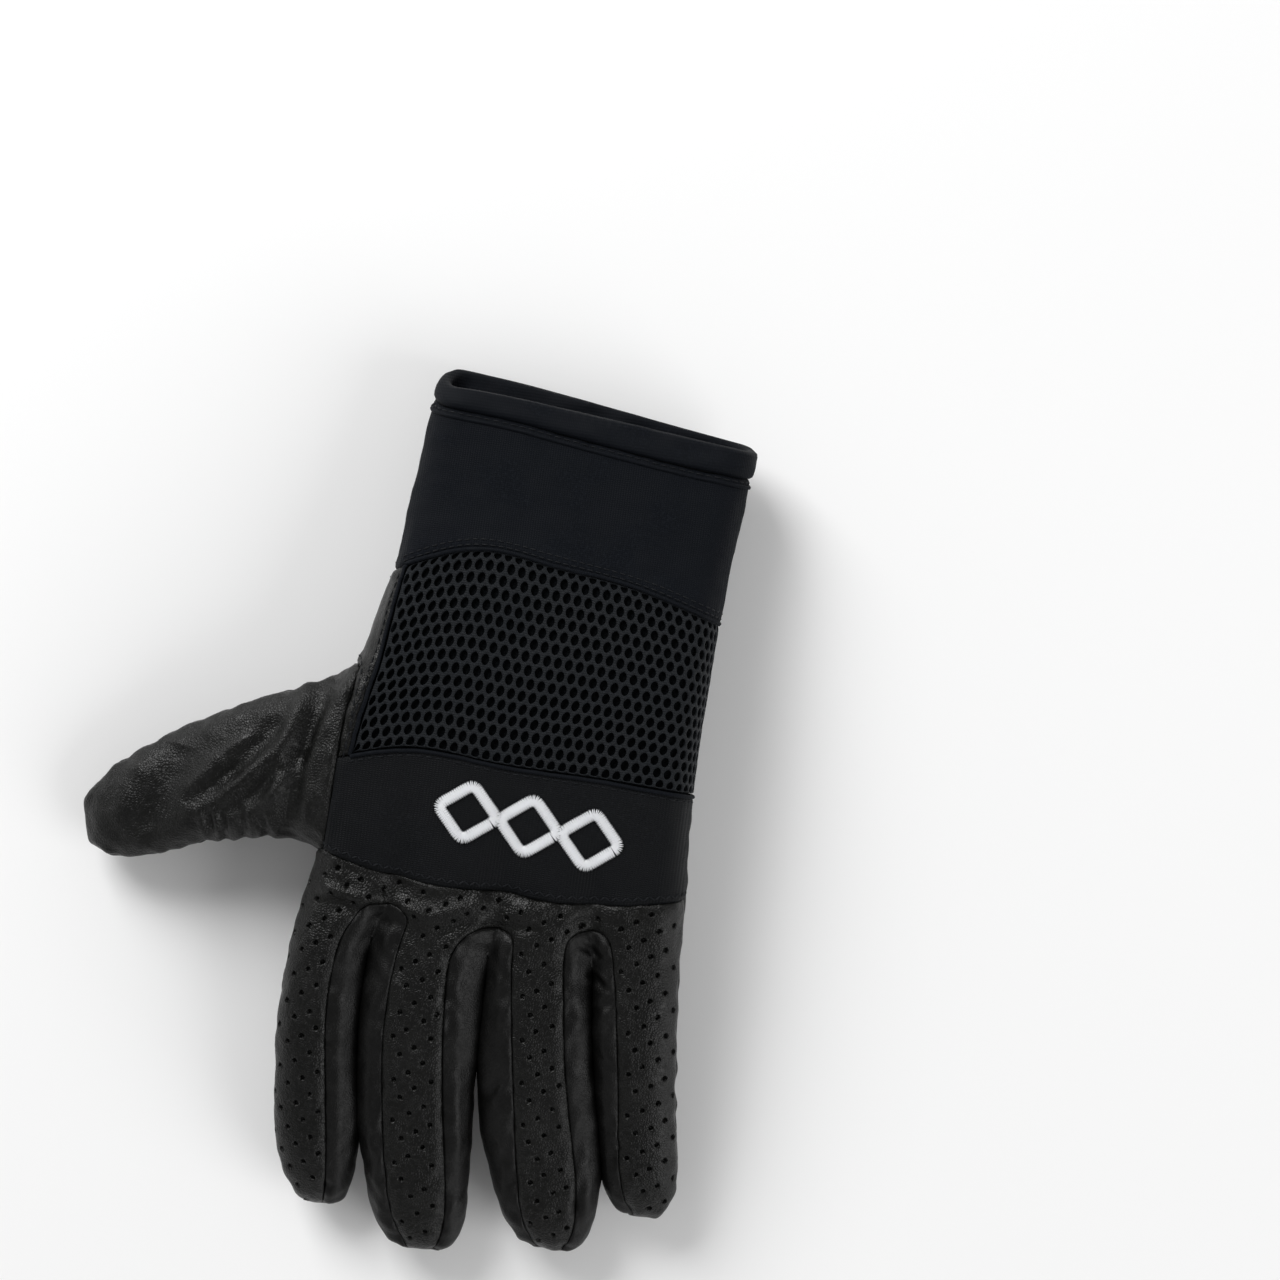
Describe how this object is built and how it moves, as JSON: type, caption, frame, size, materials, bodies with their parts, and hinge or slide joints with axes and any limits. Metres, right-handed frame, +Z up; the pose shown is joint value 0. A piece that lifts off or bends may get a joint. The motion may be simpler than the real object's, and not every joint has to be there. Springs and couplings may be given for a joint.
{
  "type": "longboard slide glove",
  "caption": "Left-hand slide glove with a mesh back, perforated leather fingers, a neoprene cuff and a round slide puck on the palm.",
  "frame": {"origin": "centre of the puck's flat sliding face, which the glove rests on", "axes": "+Z up through the palm to the back of the hand, +Y towards the cuff, -Y towards the fingertips, -X towards the thumb"},
  "size_m": [0.1888, 0.2584, 0.0436],
  "materials": {
    "neoprene": "blue-black knit-faced neoprene",
    "binding": "smooth stretch binding",
    "mesh_knit": "open spacer mesh",
    "mesh_backing": "plain dark knit",
    "webbing": "smooth woven band",
    "white_thread": "satin embroidery thread",
    "leather": "grained black leather, part perforated",
    "soft_leather": "thin soft black leather",
    "loop_pile": "loop pile of a hook-and-loop fastening",
    "hook_tape": "hook side of a hook-and-loop fastening",
    "puck_plastic": "scuffed charcoal plastic"
  },
  "bodies": {
    "root": {"cuff_back": "neoprene", "cuff_palm": "neoprene", "cuff_binding": "binding", "wrist_loop_patch": "loop_pile", "mesh_backing": "mesh_backing", "mesh_net": "mesh_knit", "knuckle_band": "webbing", "emblem": "white_thread", "finger_backs": "leather", "fourchette_1": "soft_leather", "fourchette_2": "soft_leather", "fourchette_3": "soft_leather", "palm": "leather", "thumb_back": "leather", "thumb_front": "leather", "palm_loop_patch": "loop_pile", "puck_hook_pad": "hook_tape", "puck": "puck_plastic"}
  },
  "joints": []
}
